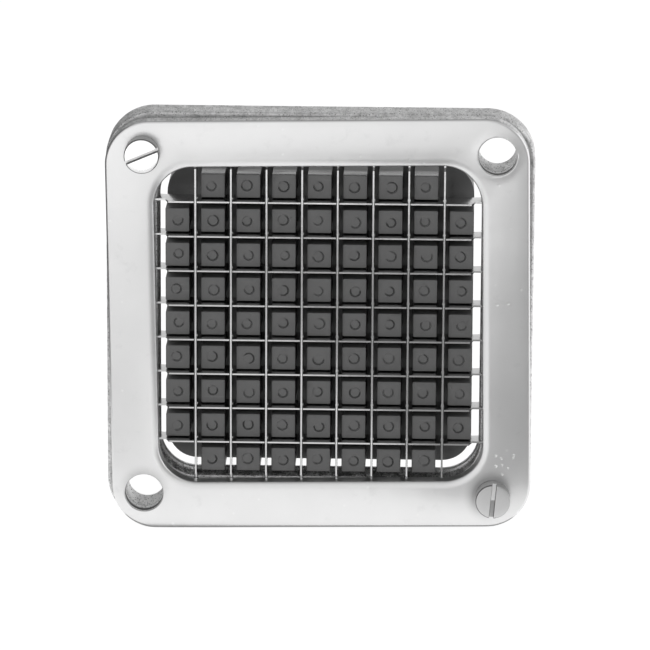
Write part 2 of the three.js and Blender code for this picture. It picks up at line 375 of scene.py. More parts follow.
def hole_cutter(x, z, radius, roll_width, roll_depth):
    """A drill with a flared mouth that leaves a polished, dished rim."""
    rim = [(radius + roll_width * drop, roll_depth * inset) for inset, drop in rounding(10)]
    return turned_solid("drill", [(radius + roll_width, -2)] + rim + [(radius, 20)], x, z, steps=72)


front_drills = [hole_cutter(x, z, mount_hole_radius, rim_roll_width, rim_roll_depth) for x, z in open_holes]
front_drills += [hole_cutter(x, z, screw_hole_radius, screw_rim_roll, screw_rim_roll) for x, z in screw_holes]
cut_with(front_frame, front_drills)

# The drill has left a low, polished lip round the two open holes
for vert in front_frame.data.vertices:
    if vert.co.y > (depth_shift + 1.5) * MM:
        continue
    for x, z in open_holes:
        from_hole = vert.co - place(x, 0, z)
        near = (lip_reach - math.hypot(from_hole.x, from_hole.z) / MM) / (lip_reach - mount_hole_radius)
        vert.co.y -= lip_rise * limit(near) ** 2.2 * MM
shade(front_frame, 40)


def new_group(name, inputs, outputs):
    """An empty shader node group, the sockets of its inputs and those of its outputs."""
    group = bpy.data.node_groups.new(name, "ShaderNodeTree")
    for label, value in inputs:
        socket = group.interface.new_socket(label, in_out="INPUT", socket_type="NodeSocketFloat")
        socket.default_value = value
    for label in outputs:
        group.interface.new_socket(label, in_out="OUTPUT", socket_type="NodeSocketFloat")
    return group, group.nodes.new("NodeGroupInput").outputs, group.nodes.new("NodeGroupOutput").inputs


def object_spot(tree):
    return add(tree, "ShaderNodeTexCoord").outputs["Object"]


def vector_maths(tree, operation, first, second=None, result="Vector"):
    return add(tree, "ShaderNodeVectorMath", {0: first, 1: second}, operation=operation).outputs[result]


def noise_value(tree, vector, scale, detail=3.0, roughness=0.5, distortion=0.0):
    inputs = {"Vector": vector, "Scale": scale, "Detail": detail}
    inputs.update({"Roughness": roughness, "Distortion": distortion})
    return add(tree, "ShaderNodeTexNoise", inputs).outputs[0]


# Cast grain: pores and a lumpy skin, as left by sand or by shrinking metal
cast_grain, grain_in, grain_out = new_group(
    "cast grain",
    [("Grain per metre", 900), ("Lumps per metre", 220), ("Pore share", 0.3), ("Along depth", 1)],
    ["Height", "Pores"])
squeeze = add(cast_grain, "ShaderNodeCombineXYZ", {"X": 1.0, "Y": grain_in["Along depth"], "Z": 1.0})
spot = vector_maths(cast_grain, "MULTIPLY", object_spot(cast_grain), squeeze.outputs[0])
fine = noise_value(cast_grain, spot, grain_in["Grain per metre"], 5.0, 0.65)
lumps = noise_value(cast_grain, spot, grain_in["Lumps per metre"], 3.0, 0.55, 0.4)
pores = add(cast_grain, "ShaderNodeTexVoronoi", {
    "Vector": spot, "Scale": grain_in["Grain per metre"], "Randomness": 1.0,
}).outputs["Distance"]
pore_mask = maths(cast_grain, "LESS_THAN", pores, grain_in["Pore share"])
height = maths(cast_grain, "MULTIPLY_ADD", fine, 0.6, maths(cast_grain, "MULTIPLY", lumps, 0.7))
height = maths(cast_grain, "MULTIPLY_ADD", pore_mask, -0.25, height)
feed(cast_grain, grain_out["Height"], height)
feed(cast_grain, grain_out["Pores"], pore_mask)

# Handling marks: sparse nicks, short scratches and smudges on a finished surface
handling_marks, marks_in, marks_out = new_group(
    "handling marks", [("Nicks per metre", 150), ("Nick size", 0.045), ("Nick share", 0.45)],
    ["Nicks", "Scratches", "Smudges"])
spot = object_spot(handling_marks)
wobble = add(handling_marks, "ShaderNodeTexNoise", {"Vector": spot, "Scale": 900.0, "Detail": 2.0})
wobble = vector_maths(handling_marks, "MULTIPLY", wobble.outputs["Color"], (0.12 * MM, 0.12 * MM, 0.12 * MM))
cells = add(handling_marks, "ShaderNodeTexVoronoi", {
    "Vector": vector_maths(handling_marks, "ADD", spot, wobble),
    "Scale": marks_in["Nicks per metre"],
    "Randomness": 1.0,
}).outputs
chance = add(handling_marks, "ShaderNodeSeparateColor", {"Color": cells["Color"]}).outputs
allowed = maths(handling_marks, "LESS_THAN", chance["Red"], marks_in["Nick share"])
reach = maths(handling_marks, "MULTIPLY", chance["Green"], marks_in["Nick size"])
reach = maths(handling_marks, "MULTIPLY", reach, allowed)
nick = maths(handling_marks, "SUBTRACT", reach, cells["Distance"], clamp=True)
nick = maths(handling_marks, "DIVIDE", nick, marks_in["Nick size"], clamp=True)
along = add(handling_marks, "ShaderNodeMapping", {
    "Vector": spot, "Rotation": (0.5, 0.9, 0.3), "Scale": (60, 1400, 1400),
}).outputs[0]
feed(handling_marks, marks_out["Nicks"], nick)
for label, pattern, threshold, gain in (
    ("Scratches", noise_value(handling_marks, along, 1.0, 2.0, 0.5), 0.66, 5.0),
    ("Smudges", noise_value(handling_marks, spot, 240.0, 4.0, 0.6), 0.6, 6.0),
):
    above = maths(handling_marks, "SUBTRACT", pattern, threshold, clamp=True)
    feed(handling_marks, marks_out[label], maths(handling_marks, "MULTIPLY", above, gain, clamp=True))

# Uneven: slow change over a surface, for colour, polish and flatness
uneven, uneven_in, uneven_out = new_group("uneven", [("Patches per metre", 60)], ["Value"])
slow = noise_value(uneven, object_spot(uneven), uneven_in["Patches per metre"], 3.0, 0.5)
feed(uneven, uneven_out["Value"], slow)


def grain_on(tree, grain, lumps, pore_share, along_depth=1.0):
    inputs = {"Grain per metre": grain, "Lumps per metre": lumps}
    inputs.update({"Pore share": pore_share, "Along depth": along_depth})
    return add(tree, "ShaderNodeGroup", inputs, node_tree=cast_grain).outputs


def marks_on(tree, per_metre, size, share):
    inputs = {"Nicks per metre": per_metre, "Nick size": size, "Nick share": share}
    return add(tree, "ShaderNodeGroup", inputs, node_tree=handling_marks).outputs


def patches(tree, per_metre):
    return add(tree, "ShaderNodeGroup", {"Patches per metre": per_metre}, node_tree=uneven).outputs["Value"]


def finish_of(name, metal=True):
    """A material with a bare Principled surface, its tree and that surface's inputs."""
    made, tree = bare_material(name)
    body = add(tree, "ShaderNodeBsdfPrincipled", {"Metallic": 1.0 if metal else 0.0})
    add(tree, "ShaderNodeOutputMaterial", {"Surface": body.outputs[0]})
    return made, tree, body.inputs


def stain(tree, tint, mask, strength, value):
    """Draws a tint towards a grey where a mask says so."""
    return mix(tree, maths(tree, "MULTIPLY", mask, strength), tint, grey(value))


def sunk(tree, height):
    return maths(tree, "MULTIPLY", height, -1.0)


def raise_surface(tree, body, layers):
    """Adds bumps one on another: layers are (height, depth in millimetres)."""
    normal = None
    for height, depth in layers:
        bump = {"Height": height, "Distance": depth * MM, "Strength": 1.0, "Normal": normal}
        normal = add(tree, "ShaderNodeBump", bump).outputs["Normal"]
    feed(tree, body["Normal"], normal)


polished_casting, tree, body = finish_of("polished cast aluminium")
marks = marks_on(tree, 300.0, 0.2, 0.35)
patchy = patches(tree, 70.0)
satin = grain_on(tree, 2600.0, 160.0, 0.12)
tint = mix(tree, patchy, grey(0.75), grey(0.84))
tint = stain(tree, tint, marks["Smudges"], 0.16, 0.45)
tint = stain(tree, tint, marks["Nicks"], 0.6, 0.97)

# Painted shade darkens the polish close round the lower two holes, more on one side of each
hole_shade_fade = 3.2
for x, z, reach, heavy_x, heavy_z, strength in (
    (-hole_offset, -hole_offset, 8.3, 0.15, 0.85, 0.5),
    (hole_offset, -hole_offset, 8.6, -0.9, 0.35, 0.75),
):
    flat = vector_maths(tree, "SUBTRACT", object_spot(tree), place(x, 0, z))
    flat = vector_maths(tree, "MULTIPLY", flat, (1, 0, 1))
    distance = vector_maths(tree, "LENGTH", flat, result="Value")
    way = vector_maths(tree, "NORMALIZE", flat)
    way = vector_maths(tree, "DOT_PRODUCT", way, (heavy_x, 0, heavy_z), "Value")
    near = maths(tree, "MULTIPLY_ADD", distance, -1 / (hole_shade_fade * MM), reach / hole_shade_fade, clamp=True)
    near = maths(tree, "MULTIPLY", near, near)
    painted_hole_shade = maths(tree, "MULTIPLY", near, maths(tree, "MULTIPLY_ADD", way, 0.6, 0.4, clamp=True))
    tint = stain(tree, tint, painted_hole_shade, strength, 0.3)

# A driver has slipped above the lower right screw and left a cluster of bright nicks there
slip_x = 50.3
slip_z = -38.5
slip_fade = 2.5
slips = marks_on(tree, 650.0, 0.33, 0.5)
slipped_at = Vector((slip_x * MM, 0, (grid_middle + slip_z) * MM))
from_slip = vector_maths(tree, "SUBTRACT", object_spot(tree), slipped_at)
from_slip = vector_maths(tree, "MULTIPLY", from_slip, (1.6, 0, 0.75))
from_slip = vector_maths(tree, "LENGTH", from_slip, result="Value")
slip_share = maths(tree, "MULTIPLY_ADD", from_slip, -1 / (slip_fade * MM), 2.6, clamp=True)
slip_share = maths(tree, "MULTIPLY", slip_share, maths(tree, "MULTIPLY", slips["Nicks"], 1.1, clamp=True))
feed(tree, body["Base Color"], stain(tree, tint, slip_share, 1.0, 0.95))
polish = mix(tree, patchy, 0.285, 0.34, "Float")
feed(tree, body["Roughness"], maths(tree, "MULTIPLY_ADD", marks["Scratches"], 0.12, polish))
raise_surface(tree, body, [
    (patchy, 0.12), (satin["Height"], 0.006),
    (sunk(tree, marks["Nicks"]), 0.05), (sunk(tree, slip_share), 0.1),
])


def object_axis(tree, axis):
    return add(tree, "ShaderNodeSeparateXYZ", {"Vector": object_spot(tree)}).outputs[axis]


def past_depth(tree, start, end):
    """0 before one depth and 1 past another, given in millimetres from the front face."""
    slope = 1 / ((end - start) * MM)
    offset = -(start + depth_shift) * MM * slope
    return maths(tree, "MULTIPLY_ADD", object_axis(tree, "Y"), slope, offset, clamp=True)


def between_depths(tree, start, full, fade, end):
    return maths(tree, "SUBTRACT", past_depth(tree, start, full), past_depth(tree, fade, end))


def rough_finish(name, dark, middle, light, pore_grey, relief, along_depth):
    """Sand-cast metal that no wheel has reached. Gives back its tint too, to be shaded further."""
    made, tree, body = finish_of(name)
    sand = grain_on(tree, 1700.0, 420.0, 0.25, along_depth)
    patchy = patches(tree, 180.0)
    tint = ramp(tree, sand["Height"], [(0.3, dark), (0.6, middle), (0.85, light)])
    feed(tree, body["Roughness"], mix(tree, patchy, 0.5, 0.72, "Float"))
    raise_surface(tree, body, [(patchy, 0.2), (sand["Height"], relief)])
    return made, tree, body, stain(tree, tint, sand["Pores"], 0.6, pore_grey)


# The sides stay as cast, with painted shade in the seam between the two frames
rough_casting, tree, body, tint = rough_finish("rough cast aluminium", 0.36, 0.72, 0.98, 0.3, 0.25, 0.5)
seam_shade = between_depths(tree, 4.5, 4.8, 5.15, 5.35)
feed(tree, body["Base Color"], stain(tree, tint, seam_shade, 0.4, 0.12))

# Inside the drilled holes painted shade sits just behind the rim
drilled_casting, tree, body, tint = rough_finish("drilled cast aluminium", 0.3, 0.8, 1.0, 0.15, 0.35, 0.35)
rim = between_depths(tree, 0.6, 0.8, 1.9, 3.2)
feed(tree, body["Base Color"], stain(tree, tint, rim, 0.95, 0.02))


def dress(piece, *finishes):
    """Gives a piece its materials in order, in place of any it has."""
    piece.data.materials.clear()
    for finish in finishes:
        piece.data.materials.append(finish)


def sort_frame_faces(piece, is_rough):
    """Walls of the holes get the third finish, and upright faces that is_rough picks the second."""
    for face in piece.data.polygons:
        x, z = face.center.x / MM, face.center.z / MM - grid_middle
        face.material_index = 0
        if abs(face.normal.y) >= 0.3:
            continue
        if math.hypot(abs(x) - hole_offset, abs(z) - hole_offset) < mount_hole_radius + 0.2:
            face.material_index = 2
        elif is_rough(max(abs(x), abs(z)), math.hypot(x, z)):
            face.material_index = 1


corner_side_reach = 68
dress(front_frame, polished_casting, rough_casting, drilled_casting)
sort_frame_faces(front_frame, lambda side, reach: side > window_half + 5 or reach > corner_side_reach)
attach(front_frame, "blade_head")
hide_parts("front_frame")


# Rear frame: a thicker sand casting, left rough, in the same alloy. Its rails are slotted for
# the blade necks and grooved for their hooks, and it is tapped for the two clamp screws.
rear_half = 57.4525
rear_corner_radius = 12.8
rear_front = 5.2
rear_back = 14.6
rear_edge_round = 0.9
rear_straight_steps = 96
rear_round_steps = 4
side_steps = 10
face_steps = 5
wall_steps = 14
window_edge_break = 0.4
cell_pitch = 9.525
blades_each_way = 8
blade_places = [(i - (blades_each_way - 1) / 2) * cell_pitch for i in range(blades_each_way)]
cut_front = 4
slot_width = 0.8
slot_back = 11.45
groove_in = 45.7525
groove_out = 48.1525
groove_back = 12.5
groove_reach = blade_places[-1] + 1.4
tapped_hole_radius = 3.325
skin_depth = 0.12
back_lip = 0.45
back_lip_start = 12.7
back_lip_run = 1.3


def rear_square(half, radius, out=0):
    return rounded_square(half + out, radius + out, arc_steps, rear_straight_steps)


def rear_ring(out, depth):
    return at_depth(rear_square(rear_half, rear_corner_radius, out), depth)


rear_rings = []
for inset, drop in reversed(rounding(rear_round_steps)):
    rear_rings.append(rear_ring(-rear_edge_round * inset, rear_back - rear_edge_round * drop))
for i in range(1, side_steps):
    depth = rear_back - rear_edge_round - i / side_steps * (rear_back - rear_front - 2 * rear_edge_round)
    rear_rings.append(rear_ring(0, depth))
for inset, drop in rounding(rear_round_steps):
    rear_rings.append(rear_ring(-rear_edge_round * inset, rear_front + rear_edge_round * drop))
face_outer = rear_square(rear_half, rear_corner_radius, -rear_edge_round)
face_inner = rear_square(window_half, window_corner_radius, window_edge_break)


def face_ring(share, depth):
    return at_depth([a.lerp(b, share) for a, b in zip(face_outer, face_inner)], depth)


rear_rings += [face_ring(i / face_steps, rear_front) for i in range(1, face_steps + 1)]
for i in range(wall_steps + 1):
    along_wall = i / wall_steps * (rear_back - rear_front - 2 * window_edge_break)
    depth = rear_front + window_edge_break + along_wall
    inwards = back_lip * limit((depth - back_lip_start) / back_lip_run)
    rear_rings.append(at_depth(rear_square(window_half, window_corner_radius, -inwards), depth))
rear_rings += [face_ring(1 - i / face_steps, rear_back) for i in range(face_steps)]
rear_frame = mesh_object("rear_frame_casting", loft(rear_rings))


def add_block(mesh, low, high):
    """Adds a closed block between two corners, given as x, depth and z in millimetres."""
    low, high = place(*low), place(*high)
    for vert in bmesh.ops.create_cube(mesh, size=1)["verts"]:
        vert.co = [low[i] if vert.co[i] < 0 else high[i] for i in range(3)]


def cutting_block(name, low, high):
    made = bmesh.new()
    add_block(made, low, high)
    return mesh_object(name, made)


rear_cutters = []
slot_boxes = bmesh.new()
for side in (-1, 1):
    near, far = sorted((side * groove_in, side * groove_out))
    for low, high in (
        ((near, cut_front, -groove_reach), (far, groove_back, groove_reach)),
        ((-groove_reach, cut_front, near), (groove_reach, groove_back, far)),
    ):
        rear_cutters.append(cutting_block("groove", low, high))
    near, far = sorted((side * (window_half - 1), side * (groove_in + 0.5)))
    for middle in blade_places:
        low, high = middle - slot_width / 2, middle + slot_width / 2
        add_block(slot_boxes, (low, cut_front, near), (high, slot_back, far))
        add_block(slot_boxes, (near, cut_front, low), (far, slot_back, high))
rear_cutters.append(mesh_object("slots", slot_boxes))
for open_hole, screw_hole in zip(open_holes, screw_holes):
    for radius, hole in ((mount_hole_radius, open_hole), (tapped_hole_radius, screw_hole)):
        rear_cutters.append(turned_solid("drill", [(radius, cut_front), (radius, 16)], *hole))
cut_with(rear_frame, rear_cutters)

# The sand leaves a skin that is nowhere quite flat. It only sinks inwards.
corner_reach = (rear_half - rear_corner_radius) * math.sqrt(2) + 10
for vert in rear_frame.data.vertices:
    spot = vert.co / MM
    flat = Vector((spot.x, 0, spot.z - grid_middle))
    lump = 0.5 + 0.5 * noise.noise(spot * 0.45)
    grain = 0.5 + 0.5 * noise.noise(spot * 1.3 + Vector((9, 4, 2)))
    sink = skin_depth * (0.65 * lump + 0.35 * grain)
    if max(abs(flat.x), abs(flat.z)) > rear_half - 2.5 or flat.length > corner_reach:
        vert.co -= flat.normalized() * sink * MM
shade(rear_frame, 40)

# Inside the window the skin is painted dark as shade, with pale specks of painted light that grow denser
# towards its back edge
window_wall_shade_and_light, tree, body, tint = rough_finish(
    "rough casting, window wall, painted shade and light", 0.06, 0.26, 1.0, 0.05, 0.5, 0.35)
towards_back = maths(tree, "MULTIPLY_ADD", past_depth(tree, 9.5, 13.0), 2.2, -4.0)
painted_light_specks = noise_value(tree, object_spot(tree), 2800.0, 2.0, 0.6)
painted_light_specks = maths(tree, "MULTIPLY_ADD", painted_light_specks, 7.0, towards_back, clamp=True)
feed(tree, body["Base Color"], stain(tree, tint, painted_light_specks, 1.0, 0.97))
feed(tree, body["Metallic"], maths(tree, "SUBTRACT", 1.0, painted_light_specks))

dress(rear_frame, rough_casting, window_wall_shade_and_light, drilled_casting)
sort_frame_faces(rear_frame, lambda side, reach: side < window_half + 1)
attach(rear_frame, "blade_head")
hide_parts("rear_frame")


# Blades: strips of bright rolled stainless steel that cross in half laps. The back edge, which
# meets the potato, is ground to a bevel, and the front edge is square with its corners broken.
# Each end narrows to a neck behind a slanted shoulder and ends in a hook behind the rail.
blade_half_thickness = 0.25
blade_front = 2.3
blade_back = 11.3
front_corner_break = 0.07
ground_depth = 1.1
ground_half_thickness = 0.06
neck_front = 5.1
neck_end = 46.0525
hook_end = 47.8525
hook_back = 12.2
notch_half = 0.4
notch_past_middle = 0.15


def blade_mesh(shoulder_inset, shoulder_run, notched_in_front, to_place):
    """A strip built from a grid of cells across its length. Its points are along, side, depth."""
    shoulder = window_half - shoulder_inset
    shoulder_end = shoulder + shoulder_run
    notch_edges = [middle + side * notch_half for middle in blade_places for side in (-1, 1)]
    inner = sorted(notch_edges + [-shoulder, shoulder, -shoulder_end, shoulder_end])
    alongs = [-hook_end, -neck_end] + inner + [neck_end, hook_end]
    past_middle = notch_past_middle if notched_in_front else -notch_past_middle
    notch_depth = (blade_front + blade_back) / 2 + past_middle
    depths = [blade_front, blade_front + front_corner_break, neck_front, notch_depth,
              blade_back - ground_depth, blade_back, hook_back]

    def solid(i, j):
        middle = abs(alongs[i] + alongs[i + 1]) / 2
        depth = (depths[j] + depths[j + 1]) / 2
        if middle > shoulder_end:
            return depth > neck_front and (middle > neck_end or depth < blade_back)
        if middle < shoulder and any(abs(middle - crossing) < notch_half for crossing in blade_places):
            return depth < blade_back and (depth > notch_depth) == notched_in_front
        return depth < blade_back

    def half_thickness(along, depth):
        if depth <= blade_front:
            return blade_half_thickness - front_corner_break
        if depth >= blade_back and abs(along) < neck_end - 0.01:
            return ground_half_thickness
        return blade_half_thickness

    made = bmesh.new()
    cells = {(i, j) for i in range(len(alongs) - 1) for j in range(len(depths) - 1) if solid(i, j)}
    verts = {}

    def vert(i, j, side):
        along, depth = alongs[i], depths[j]
        if shoulder < abs(along) <= shoulder_end + 0.001 and depth < neck_front:
            depth = neck_front
        key = (round(along, 4), round(depth, 4), side)
        if key not in verts:
            verts[key] = made.verts.new(to_place(along, side * half_thickness(along, depths[j]), depth))
        return verts[key]

    def face(*points):
        unique = list(dict.fromkeys(points))
        if len(unique) > 2:
            made.faces.new(unique)

    for i, j in cells:
        face(vert(i, j, 1), vert(i + 1, j, 1), vert(i + 1, j + 1, 1), vert(i, j + 1, 1))
        face(vert(i, j, -1), vert(i, j + 1, -1), vert(i + 1, j + 1, -1), vert(i + 1, j, -1))
        for neighbour, a, b in (
            ((i - 1, j), (i, j), (i, j + 1)), ((i + 1, j), (i + 1, j), (i + 1, j + 1)),
            ((i, j - 1), (i, j), (i + 1, j)), ((i, j + 1), (i, j + 1), (i + 1, j + 1)),
        ):
            if neighbour not in cells:
                face(vert(*a, 1), vert(*b, 1), vert(*b, -1), vert(*a, -1))
    bmesh.ops.recalc_face_normals(made, faces=made.faces)
    return made


def blade_steel(name, stretch):
    """Rolled strip: bright, with fine marks that run along the blade."""
    made, tree, body = finish_of(name)
    lines = add(tree, "ShaderNodeMapping", {"Vector": object_spot(tree), "Scale": stretch}).outputs[0]
    rolled = noise_value(tree, lines, 1.0, 3.0, 0.6)
    patchy = patches(tree, 240.0)
    feed(tree, body["Base Color"], mix(tree, patchy, grey(0.55), grey(0.7)))
    feed(tree, body["Roughness"], mix(tree, rolled, 0.08, 0.24, "Float"))
    raise_surface(tree, body, [(patchy, 0.04), (rolled, 0.008)])
    return made


upright_steel = blade_steel("blade steel, upright", (2600, 2600, 40))
level_steel = blade_steel("blade steel, level", (40, 2600, 2600))
for i, middle in enumerate(blade_places):
    upright = blade_mesh(1.3, 0.4, False, lambda along, side, depth: place(middle + side, depth, along))
    level = blade_mesh(3.2, 0.9, True, lambda along, side, depth: place(along, depth, side - middle))
    for mesh, kind, steel in ((upright, "vertical", upright_steel), (level, "horizontal", level_steel)):
        strip = mesh_object(f"{kind}_blade_{i + 1}_strip", mesh)
        dress(strip, steel)
        shade(strip, 20)
        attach(strip, "blade_head")
        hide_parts(f"{kind}_blade_{i + 1}")


# Clamp screws: two slotted cheese-head machine screws of bright turned steel. They pass
# through the front frame with room to spare and thread into the rear frame.
head_radius = 4.7
head_front = -4.6
head_seat = -0.1
head_edge_round = 0.35
head_face_dish = 0.02
shank_radius = 3.175
shank_tip = 13.8
thread_start = 5.6
thread_pitch = 1.27
thread_depth = 0.5
driver_slot_taper = 0.45
driver_slot_depth = 1.7


def turned_steel(name, x, z, brightness, roughness):
    """Faced on a lathe: fine rings about the screw's own axis."""
    made, tree, body = finish_of(name)
    centre = place(x, 0, z)
    flat = add(tree, "ShaderNodeMapping", {
        "Vector": object_spot(tree), "Location": (-centre.x, 0, -centre.z), "Scale": (1, 0, 1),
    }).outputs[0]
    radius = vector_maths(tree, "LENGTH", flat, result="Value")
    inputs = {"W": radius, "Scale": 5200.0, "Detail": 2.0}
    rings = add(tree, "ShaderNodeTexNoise", inputs, noise_dimensions="1D").outputs[0]
    marks = marks_on(tree, 420.0, 0.12, 0.3)
    feed(tree, body["Base Color"], mix(tree, patches(tree, 300.0), grey(brightness), grey(brightness * 0.93)))
    feed(tree, body["Roughness"], mix(tree, rings, roughness * 0.65, roughness * 1.35, "Float"))
    raise_surface(tree, body, [(rings, 0.003), (sunk(tree, marks["Nicks"]), 0.05)])
    return made


def dull_steel(name, low, high, shaded_below=None):
    """Sawn or dull steel whose two greys stand in for light and shade. Below a height, if one is given, it is
    darker, as painted shade.
    """
    made, tree, body = finish_of(name)
    grime = patches(tree, 1200.0)
    tint = mix(tree, grime, grey(low), grey(high))
    if shaded_below is not None:
        under = maths(tree, "SUBTRACT", shaded_below, object_axis(tree, "Z"))
        under = maths(tree, "MULTIPLY_ADD", under, 3000.0, maths(tree, "MULTIPLY", grime, 0.5), clamp=True)
        tint = stain(tree, tint, under, 1.0, low * 0.5)
    feed(tree, body["Base Color"], tint)
    feed(tree, body["Roughness"], 0.4)
    raise_surface(tree, body, [(grime, 0.05)])
    return made


# The slot walls are painted dark, as painted shade inside the slot
slot_wall_shade = dull_steel("slot walls, painted shade", 0.1, 0.22)


def clamp_screw(name, x, z, slot_degrees, slot_width, brightness, roughness,
                side_brightness, shaded_edge_to, floor_shaded_below):
    """A screw with a real slot and ring-shaped threads on its shank."""
    profile = [(0.001, head_front + head_face_dish)]
    profile += [(radius, head_front + head_face_dish * (1 - radius / head_radius)) for radius in (1.5, 3.0)]
    profile += [(head_radius - head_edge_round * drop, head_front + head_edge_round * inset)
                for inset, drop in rounding(5)]
    profile += [(head_radius, head_seat - 0.3), (head_radius - 0.25, head_seat), (shank_radius, head_seat)]
    depth = thread_start
    profile.append((shank_radius, depth))
    while depth < shank_tip - thread_pitch:
        profile.append((shank_radius - thread_depth, depth + thread_pitch * 0.5))
        depth += thread_pitch
        profile.append((shank_radius, depth))
    profile.append((shank_radius - 0.7, shank_tip))
    screw = turned_solid(name, profile, x, z, steps=96)
    slot = cutting_block("slot", (-6, head_front - 1, -slot_width / 2),
                         (6, head_front + driver_slot_depth, slot_width / 2))
    middle = place(0, 0, 0)
    for vert in slot.data.vertices:
        if vert.co.y > place(0, head_front, 0).y:
            vert.co.z = middle.z + (vert.co.z - middle.z) * (1 - driver_slot_taper / slot_width)
    spin = Matrix.Rotation(-math.radians(slot_degrees), 4, "Y")
    slot.data.transform(Matrix.Translation(place(x, 0, z)) @ spin @ Matrix.Translation(-middle))
    cut_with(screw, [slot])
    shade(screw, 35)
    dress(screw, turned_steel(f"screw steel, {name}", x, z, brightness, roughness), slot_wall_shade,
          dull_steel(f"slot floor, {name}", 0.88, 1.0, floor_shaded_below),
          dull_steel(f"head side, {name}", side_brightness * 0.8, side_brightness * 1.2))
    across = spin.to_3x3() @ Vector((0, 0, 1))
    for face in screw.data.polygons:
        from_middle = face.center - place(x, 0, z)
        depth = face.center.y / MM - depth_shift
        in_slot = depth < head_seat - 0.1 and abs(from_middle.dot(across)) < (slot_width / 2 + 0.01) * MM
        # Left of a given x the head's rounded edge takes the dark slot-wall finish, as painted shade
        if math.hypot(from_middle.x, from_middle.z) > (head_radius - 0.2) * MM:
            on_edge = depth < head_front + head_edge_round
            face.material_index = 1 if on_edge and from_middle.x < shaded_edge_to * MM else 3
        elif in_slot and face.normal.y < -0.9 and depth > head_front + 1:
            face.material_index = 2
        elif in_slot and abs(face.normal.dot(across)) > 0.8:
            face.material_index = 1
    return screw


# The screws' greys are painted light and shade: the upper left face painted bright, the lower right face and
# both head sides darker, and the slot floors painted light
for corner, x, z, slot_degrees, slot_width, *looks in (
    ("upper_left", -hole_offset, hole_offset, 23, 1.25, 0.97, 0.19, 0.36, head_radius, None),
    ("lower_right", hole_offset, -hole_offset, 85, 1.5, 0.64, 0.44, 0.48, 1.0, 0.0103),
):
    screw = clamp_screw(f"clamp_screw_{corner}_turned", x, z, slot_degrees, slot_width, *looks)
    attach(screw, "blade_head")
    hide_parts(f"clamp_screw_{corner}")


# Pusher block: one black injection moulding. A square finger stands behind each cell but the
# four at the corners, and each finger's face carries the round mark of an ejector pin.
pusher_shift = -0.2
pusher_drop = -0.9875
finger_half = 3.225
finger_front = 5.6
finger_corner_round = 0.3
finger_edge_round = 0.22
finger_root_flare = 0.3
base_front = 18.35
base_back = 26.35
base_half = 41.475
base_corner_radius = 8
base_flat = base_half - base_corner_radius
base_corner_steps = 12
base_edge_round = 0.6
insert_offset = 2.5 * cell_pitch
insert_bore_radius = 3.6
insert_bore_front = 20.6
ejector_radius = 1.6
ejector_groove_width = 0.5
ejector_groove_depth = 0.66
ejector_burr = 0.25
ring_points = 32
ring_start = math.pi / 4 * 0.3
cell_places = [(i - blades_each_way / 2) * cell_pitch for i in range(blades_each_way + 1)]
random.seed(7)


def pusher_place(x, depth, z):
    return place(x + pusher_shift, depth, z + pusher_drop)


def at_cell(points, depth):
    """Moves points out to the cell in hand, but not past the base's sides."""
    return [(limit(column + p.x, -base_half, base_half), depth, limit(row + p.y, -base_half, base_half))
            for p in points]


def small_square(half, corner_round):
    """As many points as there are round a cell or an ejector mark, so that the rings join."""
    return rounded_square(half, corner_round, 3, 5)


def corner_cell(side_x, side_z):
    """The base's front between the last blades and its round corner, where no finger stands."""
    inner = blade_places[-1]
    outline = [(inner, base_half)]
    for i in range(base_corner_steps + 1):
        angle = i / base_corner_steps * math.pi / 2
        outline.append((base_flat + base_corner_radius * math.sin(angle),
                        base_flat + base_corner_radius * math.cos(angle)))
    outline.append((base_half, inner))
    steps = [inner + cell_pitch * i / 8 for i in range(8)]
    steps = [step for step in steps if step < base_half]
    outline += [(step, inner) for step in reversed(steps)] + [(inner, step) for step in steps[1:]]
    return [pusher_place(side_x * x, base_front, side_z * z) for x, z in outline]


block = bmesh.new()
circle = [Vector((math.cos(a), math.sin(a))) for a in
          (ring_start + 2 * math.pi * i / ring_points for i in range(ring_points))]
for column in cell_places:
    for row in cell_places:
        if abs(column) == abs(row) == cell_places[-1]:
            corner = corner_cell(math.copysign(1, column), math.copysign(1, row))
            block.faces.new([block.verts.new(point) for point in corner])
            continue
        mark = Vector((random.uniform(-0.4, 0.35), random.uniform(-0.3, 0.3)))
        mark_radius = ejector_radius * random.uniform(0.9, 1.05)
        deepest = math.radians(random.gauss(-50, 30))
        groove_depth = ejector_groove_depth * random.uniform(0.55, 1.1)
        groove_spread = random.uniform(0.35, 1.05)
        sections = [at_cell(rounded_square(cell_pitch / 2, 0, 0, 8), base_front)]
        for inset, drop in rounding(3):
            flare = finger_root_flare * drop
            ring = small_square(finger_half + flare, finger_corner_round + flare)
            sections.append(at_cell(ring, base_front - finger_root_flare * inset))
        for inset, drop in rounding(3):
            inset *= finger_edge_round
            ring = small_square(finger_half - inset, max(finger_corner_round - inset * 0.5, 0.1))
            sections.append(at_cell(ring, finger_front + finger_edge_round * drop))
        mark_x, mark_z = column + mark.x, row + mark.y
        sections.append([(mark_x + mark_radius * way.x, finger_front, mark_z + mark_radius * way.y)
                         for way in circle])
        deepest_way = Vector((math.cos(deepest), math.sin(deepest)))
        burr_height = ejector_burr * random.uniform(0, 1)
        for inset, share, burr_share in (
            (0.17, 1.0, 1.0), (0.25, 1.0, 0.6), (ejector_groove_width, 0.12, 0.0),
        ):
            radius = mark_radius - inset
            ring = []
            for way in circle:
                facing = way.dot(deepest_way) + random.uniform(-0.12, 0.12)
                depth = finger_front + groove_depth * share * limit((facing + groove_spread) / 0.8)
                depth -= burr_height * burr_share * max(0.0, -facing - 0.2)
                ring.append((mark_x + radius * way.x, depth, mark_z + radius * way.y))
            sections.append(ring)
        rings = [[block.verts.new(pusher_place(*point)) for point in section] for section in sections]
        for one, other in zip(rings, rings[1:]):
            join_rings(block, one, other)
        block.faces.new(rings[-1])
